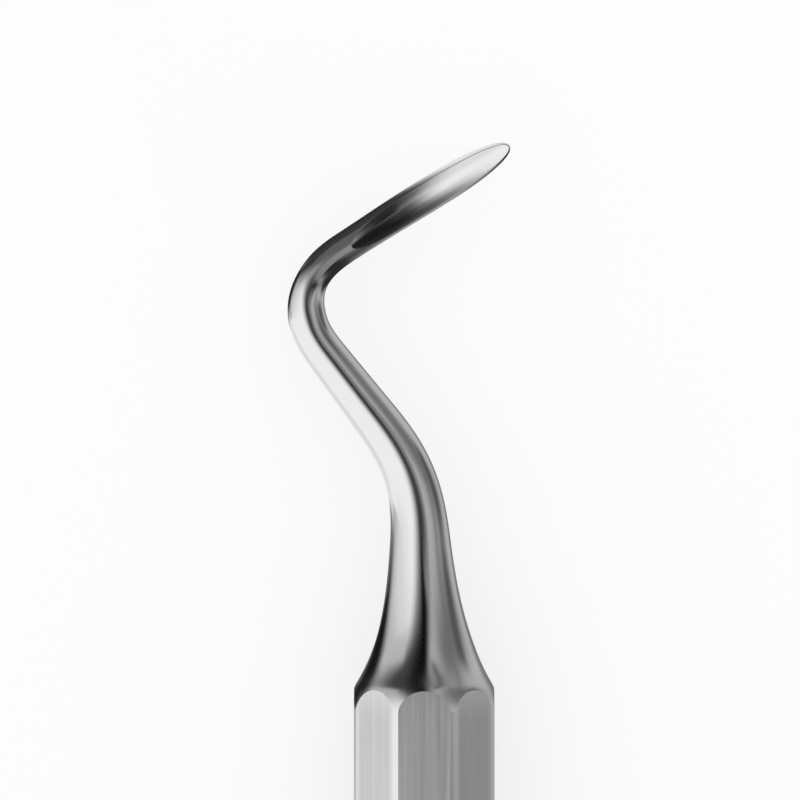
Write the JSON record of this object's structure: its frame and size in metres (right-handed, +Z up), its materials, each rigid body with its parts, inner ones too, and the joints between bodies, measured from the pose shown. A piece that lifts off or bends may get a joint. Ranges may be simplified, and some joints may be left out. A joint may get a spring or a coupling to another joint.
{
  "type": "dental elevator",
  "caption": "Dental elevator with an octagonal grip, a flared round shank bent twice in one plane and a narrow spoon blade with a ground trough.",
  "frame": {"origin": "On the middle of the grip's lower flat, at half the grip's length, where the elevator rests on a table.", "axes": "+Y runs along the grip towards the blade, +Z is up and square to the plane of the shank's bends, +X is the side that the blade points to."},
  "size_m": [0.0191, 0.1509, 0.012],
  "materials": {
    "polished_steel": "mirror polished shank and blade, satin grip"
  },
  "bodies": {
    "root": {"elevator": "polished_steel"}
  },
  "joints": []
}
